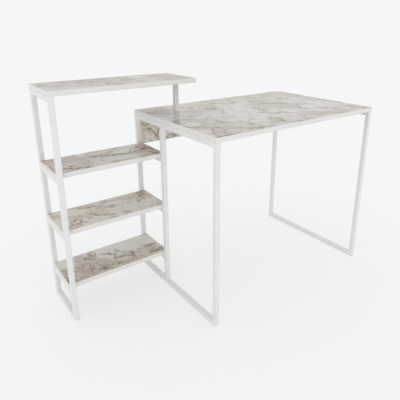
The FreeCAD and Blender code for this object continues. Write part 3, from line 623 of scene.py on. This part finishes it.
def addPiece(name, grids, finish, loop=False):  # joins several grids into one piece
    points, faces, start = [], [], 0
    for grid in grids:
        rows, columns = grid.shape[:2]
        points.append(grid.reshape(-1, 3))
        faces += (gridFaces(rows, columns, loop) + start).tolist()
        if not loop:  # end caps
            faces.append((np.arange(columns)[::-1] + start).tolist())
            faces.append((np.arange(columns) + start + (rows - 1) * columns).tolist())
        start += rows * columns
    shape = bpy.data.meshes.new(name)
    shape.from_pydata(np.concatenate(points).tolist(), [], faces)
    shape.materials.append(finish)
    shape.shade_smooth()
    shape.set_sharp_from_angle(angle=math.radians(sharpFrom))
    piece = bpy.data.objects.new(name, shape)
    bpy.context.scene.collection.objects.link(piece)
    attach(piece, "root")
    return piece


# edging strips: the strip's own section, with its outer corners eased, carried round the board's outline
strip = {"corner": 3.0, "thick": 1.0, "ease": 0.45, "cornerSteps": 9, "easeSteps": 6}


def makeStrip(board, look):
    low, high = (np.array(corner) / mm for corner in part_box(board + "_band"))
    flat = int(np.argmin(high - low))  # the way the board is thin
    first, second = [axis for axis in (0, 1, 2) if axis != flat]
    # outline: four quarter turns of the corner radius, joined by straight runs
    turn = np.linspace(0, math.pi / 2, look["cornerSteps"])
    angle = np.concatenate([turn + quarter * math.pi / 2 for quarter in range(4)])
    outward = np.stack((np.cos(angle), np.sin(angle)), -1)
    side = np.repeat(((1, 1), (0, 1), (0, 0), (1, 0)), look["cornerSteps"], axis=0)
    corner = np.array((low[[first, second]], high[[first, second]]))
    middle = np.stack((corner[side[:, 0], 0], corner[side[:, 1], 1]), -1)
    middle = middle - np.sign(middle - corner.mean(0)) * look["corner"]
    # section: inner foot, outer foot eased, outer top eased, inner top, as (depth in from the face, height)
    bend = np.linspace(0, math.pi / 2, look["easeSteps"])
    ease, tall = look["ease"], high[flat] - low[flat]
    foot = np.stack((ease - ease * np.sin(bend), ease - ease * np.cos(bend)), -1)
    crown = np.stack((foot[::-1, 0], tall - foot[::-1, 1]), -1)
    section = np.concatenate((((look["thick"], 0.0),), foot, crown, ((look["thick"], tall),)))
    reach = look["corner"] - section[:, 0]
    grid = np.zeros((len(angle), len(section), 3))
    grid[:, :, first] = middle[:, None, 0] + outward[:, None, 0] * reach
    grid[:, :, second] = middle[:, None, 1] + outward[:, None, 1] * reach
    grid[:, :, flat] = low[flat] + section[None, :, 1]
    if flat == 1:  # an upright board's two ways run the other way round, so its rows are turned to face out
        grid = grid[::-1]
    piece = addPiece(board + "_edging", [grid * mm], edgeFinish, loop=True)
    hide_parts(board + "_band")


for board in boards:
    makeStrip(board, strip)
print("edging strips on", len(boards), "boards")


# weld beads: a rod in the inner corner of a joint, which swells from next to nothing at both ends and has
# fine ripples. With t from 0 to 1 along it,
# radius = full radius * (1 - |2t - 1|^endPower)^0.5 * (1 + ripple * sin(ripples along))
bead = {"radius": 2.3, "sunk": 0.55, "ripple": 0.05, "pitch": 1.7, "steps": 44, "sides": 14, "short": 0.8,
        "endPower": 8, "endLeast": 0.0004, "grooveRadius": 1.1, "grooveSunk": 0.15, "grooveShort": 1.0,
        "grooveIn": 0.5}


def beadGrid(start, end, normalOne, normalTwo, radius, sunk):
    start, end = np.array(start, float), np.array(end, float)
    one, two = np.array(normalOne, float), np.array(normalTwo, float)
    length = np.linalg.norm(end - start)
    along = (end - start) / length
    if np.dot(np.cross(one, two), along) < 0:  # keeps the skin facing out
        one, two = two, one
    share = np.linspace(0, 1, bead["steps"])
    line = start + (end - start) * share[:, None] - (one + two) * sunk
    swell = np.sqrt(np.clip(1 - np.abs(2 * share - 1) ** bead["endPower"], bead["endLeast"], 1))
    wave = 1 + bead["ripple"] * np.sin(2 * math.pi * share * length / bead["pitch"])
    around = np.linspace(0, 2 * math.pi, bead["sides"], endpoint=False)
    ring = np.cos(around)[:, None] * one + np.sin(around)[:, None] * two
    return line[:, None] + ring[None] * (radius * swell * wave)[:, None, None]


# bead across a tube, where a face that looks along Y (side) meets one that looks up or down
def cornerBead(box, height, face, side, up):
    left, right = box[0].x / mm + bead["short"], box[1].x / mm - bead["short"]
    ends = (left, face, height), (right, face, height)
    return beadGrid(*ends, (0, side, 0), (0, 0, up), bead["radius"], bead["sunk"])


# two thin beads in the hollows where a rail's end meets the rounded edges of an upright
def grooveBeads(box, face, side):
    rods = []
    foot, head = box[0].z / mm + bead["grooveShort"], box[1].z / mm - bead["grooveShort"]
    for edge, out in ((box[0].x / mm, -1), (box[1].x / mm, 1)):
        x = edge - out * (bead["grooveRadius"] * (1 + bead["ripple"]) + bead["grooveSunk"])
        y = face - side * bead["grooveRadius"] * bead["grooveIn"]
        ends = (x, y, foot), (x, y, head)
        rods.append(beadGrid(*ends, (out, 0, 0), (0, side, 0), bead["grooveRadius"], 0.0))
    return rods


def frameBeads(side, upright, crossFront, shelves):  # all beads of one frame, from the names of its tubes
    front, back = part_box(side + "_front_" + upright)[1].y / mm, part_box(side + "_back_" + upright)[0].y / mm
    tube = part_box(side + "_floor_rail")
    floorTop, topFoot = tube[1].z / mm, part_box(side + "_top_rail")[0].z / mm
    rods = [cornerBead(tube, floorTop, front, 1, 1), cornerBead(tube, floorTop, back, -1, 1),
            cornerBead(tube, topFoot, front, 1, -1), cornerBead(tube, topFoot, back, -1, -1)]
    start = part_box(side + crossFront)[1].y / mm
    for shelf in shelves:
        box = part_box(side + "_" + shelf + "_rail")
        rods += [cornerBead(box, box[0].z / mm, start, 1, -1), cornerBead(box, box[0].z / mm, back, -1, -1)]
        rods += grooveBeads(box, start, 1) + grooveBeads(box, back, -1)
    return rods


shelves = ("lower_shelf", "middle_shelf", "upper_shelf")
ladderRods = frameBeads("ladder", "post", "_front_post", shelves)
leftRods = frameBeads("desk_left", "leg", "_mid_post", shelves)
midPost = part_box("desk_left_mid_post")
for face, side in ((midPost[0].y / mm, -1), (midPost[1].y / mm, 1)):
    leftRods.append(cornerBead(midPost, midPost[0].z / mm, face, side, 1))
    leftRods.append(cornerBead(midPost, midPost[1].z / mm, face, side, -1))
rightRods = frameBeads("desk_right", "leg", "_front_leg", ())
welds = {"ladder_welds": ladderRods, "desk_left_welds": leftRods, "desk_right_welds": rightRods}
for name, rods in welds.items():
    addPiece(name, [rod * mm for rod in rods], tubeFinish)


# weld rings at the post's two plates: a round section carried round the tube's rounded square outline
ring = {"radius": 1.5, "sunk": 0.5, "corner": 2.5, "cornerSteps": 8, "runSteps": 16, "sides": 12}


def ringGrid(box, height, up, look):
    low, high = np.array(box[0][:2]) / mm, np.array(box[1][:2]) / mm
    half = (high - low) / 2 - look["corner"]
    turn = np.linspace(0, math.pi / 2, look["cornerSteps"])
    run = np.linspace(0, 1, look["runSteps"], endpoint=False)[1:]
    path, out = [], []
    corners = np.array(((1, 1), (-1, 1), (-1, -1), (1, -1))) * half
    for quarter in range(4):  # a quarter turn round each corner, then a straight run to the next
        spin = quarter * math.pi / 2
        corner, following = corners[quarter], corners[(quarter + 1) % 4]
        normal = np.stack((np.cos(turn + spin), np.sin(turn + spin)), -1)
        ahead = normal[-1]
        straight = corner + ahead * look["corner"] + (following - corner) * run[:, None]
        path += [corner + normal * look["corner"], straight]
        out += [normal, np.repeat(ahead[None], len(run), 0)]
    path, out = np.concatenate(path) + (low + high) / 2, np.concatenate(out)
    around = np.linspace(0, 2 * math.pi, look["sides"], endpoint=False) * up
    wide = np.cos(around) * look["radius"] - look["sunk"]
    tall = np.sin(around) * look["radius"] * up - look["sunk"] * up
    grid = np.empty((len(path), len(around), 3))
    grid[:, :, :2] = path[:, None] + out[:, None] * wide[None, :, None]
    grid[:, :, 2] = height + tall
    return grid


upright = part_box("top_shelf_post")
rings = [ringGrid(upright, upright[0].z / mm, 1, ring), ringGrid(upright, upright[1].z / mm, -1, ring)]
addPiece("post_welds", [grid * mm for grid in rings], tubeFinish, loop=True)
print("weld beads on the frames and the post")


# screws: a turned section (distance r from the axis, height from the head's crown) carried round the axis.
# The head is a low dome, height = domeHeight * (r / headRadius)^domePower, with a cross cut in it: along each
# arm the cut is deep in the middle and gets shallower by the share cutSlope towards the arm's end
screw = {"headRadius": 4.0, "domeHeight": 1.5, "domePower": 2.4, "headHeight": 2.6, "shankRadius": 2.0,
         "tip": 4.0, "pointShare": 0.02, "pointRadius": 0.02, "turns": 48, "rings": 18, "armHalf": 0.62,
         "armLong": 2.2, "cutDepth": 1.35, "cutSlope": 0.4, "softness": 0.22}
screwSets = {  # how many along X, Y and Z, the axis that they lie along, and the way that they point on it
    "shelf_screws": ((2, 2, 3), 2, 1),
    "top_shelf_screws": ((1, 2, 1), 2, 1),
    "desk_top_screws": ((2, 3, 1), 2, 1),
    "post_head_screws": ((2, 2, 1), 2, 1),
    "panel_screws": ((2, 1, 2), 1, -1),
}


def smooth(value):  # 0 below 0, 1 above 1, an even bend between
    value = np.clip(value, 0, 1)
    return value * value * (3 - 2 * value)


def screwGrid(length, look):
    angle = np.linspace(0, 2 * math.pi, look["turns"], endpoint=False)
    dome = np.linspace(look["pointShare"], 1, look["rings"]) * look["headRadius"]
    shank = ((look["headRadius"], look["headHeight"]), (look["shankRadius"], look["headHeight"]),
             (look["shankRadius"], length - look["tip"]), (look["pointRadius"], length))
    radius = np.concatenate((dome, [r for r, h in shank]))
    crown = look["domeHeight"] * (dome / look["headRadius"]) ** look["domePower"]
    height = np.concatenate((crown, [h for r, h in shank]))
    x, y = radius[:, None] * np.cos(angle), radius[:, None] * np.sin(angle)
    off, out = np.minimum(np.abs(x), np.abs(y)), np.maximum(np.abs(x), np.abs(y))
    across = smooth((look["armHalf"] - off) / look["softness"] + 1 / 2)  # half cut at the arm's edge
    along = smooth((look["armLong"] - out) / look["softness"])
    cut = across * along * look["cutDepth"] * (1 - look["cutSlope"] * out / look["armLong"])
    cut[look["rings"]:] = 0
    return np.stack((x, y, height[:, None] + cut), -1)


def makeScrews(name, counts, axis, way, look):
    low, high = (np.array(corner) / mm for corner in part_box(name))
    others = [k for k in (0, 1, 2) if k != axis]
    length = high[axis] - low[axis]
    if counts[axis] > 1:  # a set stacked along its own axis has screws as long as the top shelf's
        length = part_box("top_shelf_screws")[1][axis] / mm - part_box("top_shelf_screws")[0][axis] / mm
    spots = []
    for k in (0, 1, 2):
        if k == axis:
            spots.append(np.linspace(low[k], high[k] - length, counts[k]))
        elif counts[k] == 1:
            spots.append(np.array([(low[k] + high[k]) / 2]))
        else:
            spots.append(np.linspace(low[k] + look["headRadius"], high[k] - look["headRadius"], counts[k]))
    places = np.stack(np.meshgrid(*spots, indexing="ij"), -1).reshape(-1, 3)
    own = screwGrid(length, look)
    grid = np.empty_like(own)
    grid[..., axis] = own[..., 2] if way > 0 else length - own[..., 2]
    grid[..., others[0]], grid[..., others[1]] = own[..., 0], own[..., 1]
    if (axis == 1) == (way > 0):  # keeps the skin facing out
        grid = grid[:, ::-1]
    grids = [(grid + place) * mm for place in places]
    piece = addPiece(name[:-1] + "_set", grids, steelFinish)
    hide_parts(name)
    return len(places)


made = [makeScrews(name, *settings, screw) for name, settings in screwSets.items()]
print("screws with cross cuts:", sum(made))


# studio: pale floor, even light from all round, and a wide far lamp, low and front left
studio = {"floorHalf": 14.0, "floorColour": (246, 246, 246), "floorGlow": (250, 250, 250), "paleShare": 0.6,
          "surround": 0.93, "surroundColour": (255, 255, 255),
          "lampWay": (2.0, 2.9, -0.4), "lampSpread": 50.0, "lampStrength": 0.45}


def paleRays(tree):  # 1 for rays from the camera, from gloss and through glass
    path = tree.nodes.new("ShaderNodeLightPath")
    seen = sums(tree, "MAXIMUM", path.outputs["Is Camera Ray"], path.outputs["Is Glossy Ray"])
    return sums(tree, "MAXIMUM", seen, path.outputs["Is Transmission Ray"])


def mixInto(tree, amount, under, over, target):  # two shaders mixed and led to an output node
    both = tree.nodes.new("ShaderNodeMixShader")
    feed(tree, both.inputs["Fac"], amount)
    tree.links.new(under.outputs[0], both.inputs[1])
    tree.links.new(over.outputs[0], both.inputs[2])
    output = tree.nodes.new(target)
    tree.links.new(both.outputs[0], output.inputs["Surface"])


def makeStudio(look):
    half = look["floorHalf"]
    sheet = bpy.data.meshes.new("studio_floor")
    corners = np.array(((-half, -half, 0), (half, -half, 0), (half, half, 0), (-half, half, 0)))
    sheet.from_pydata(corners.tolist(), [], [(0, 1, 2, 3)])
    floor = bpy.data.objects.new("studio_floor", sheet)
    bpy.context.scene.collection.objects.link(floor)
    paint = bpy.data.materials.new("pale_floor")
    paint.use_nodes = True
    tree = paint.node_tree
    tree.nodes.clear()
    matt = tree.nodes.new("ShaderNodeBsdfDiffuse")
    matt.inputs["Color"].default_value = screenColour(*look["floorColour"])
    glow = tree.nodes.new("ShaderNodeEmission")
    glow.inputs["Color"].default_value = screenColour(*look["floorGlow"])
    mixInto(tree, times(tree, paleRays(tree), look["paleShare"]), matt, glow, "ShaderNodeOutputMaterial")
    sheet.materials.append(paint)
    world = bpy.data.worlds.new("studio_surround")
    world.use_nodes = True
    tree = world.node_tree
    tree.nodes.clear()
    soft = tree.nodes.new("ShaderNodeBackground")
    soft.inputs["Strength"].default_value = look["surround"]
    soft.inputs["Color"].default_value = screenColour(*look["surroundColour"])
    back = tree.nodes.new("ShaderNodeBackground")
    back.inputs["Color"].default_value = screenColour(*look["floorColour"])
    mixInto(tree, paleRays(tree), soft, back, "ShaderNodeOutputWorld")
    bpy.context.scene.world = world
    light = bpy.data.lights.new("wide_lamp", "SUN")
    light.angle = math.radians(look["lampSpread"])
    light.energy = look["lampStrength"]
    lamp = bpy.data.objects.new("wide_lamp", light)
    lamp.rotation_mode = "QUATERNION"
    lamp.rotation_quaternion = Vector(look["lampWay"]).to_track_quat("-Z", "Y")
    bpy.context.scene.collection.objects.link(lamp)


makeStudio(studio)
print("studio set")


# camera: stands front left of the desk, above the top shelf, and looks down at it
eye = {"place": (-1.0302, -1.31964, 1.1056), "heading": 36.46, "dip": 18.5496, "lens": 37.2882,
       "sensor": 36.0, "shift": (-0.01602, -0.095)}


def makeCamera(look):
    heading, dip = math.radians(look["heading"]), math.radians(look["dip"])
    gaze = Vector((math.sin(heading) * math.cos(dip), math.cos(heading) * math.cos(dip), -math.sin(dip)))
    glass = bpy.data.cameras.new("photo_view")
    glass.sensor_width = look["sensor"]
    glass.lens = look["lens"]
    glass.shift_x, glass.shift_y = look["shift"]
    camera = bpy.data.objects.new("photo_view", glass)
    camera.location = look["place"]
    camera.rotation_mode = "QUATERNION"
    camera.rotation_quaternion = gaze.to_track_quat("-Z", "Y")
    bpy.context.scene.collection.objects.link(camera)
    bpy.context.scene.camera = camera


makeCamera(eye)
bpy.context.scene.view_settings.view_transform = "Standard"
print("camera set")
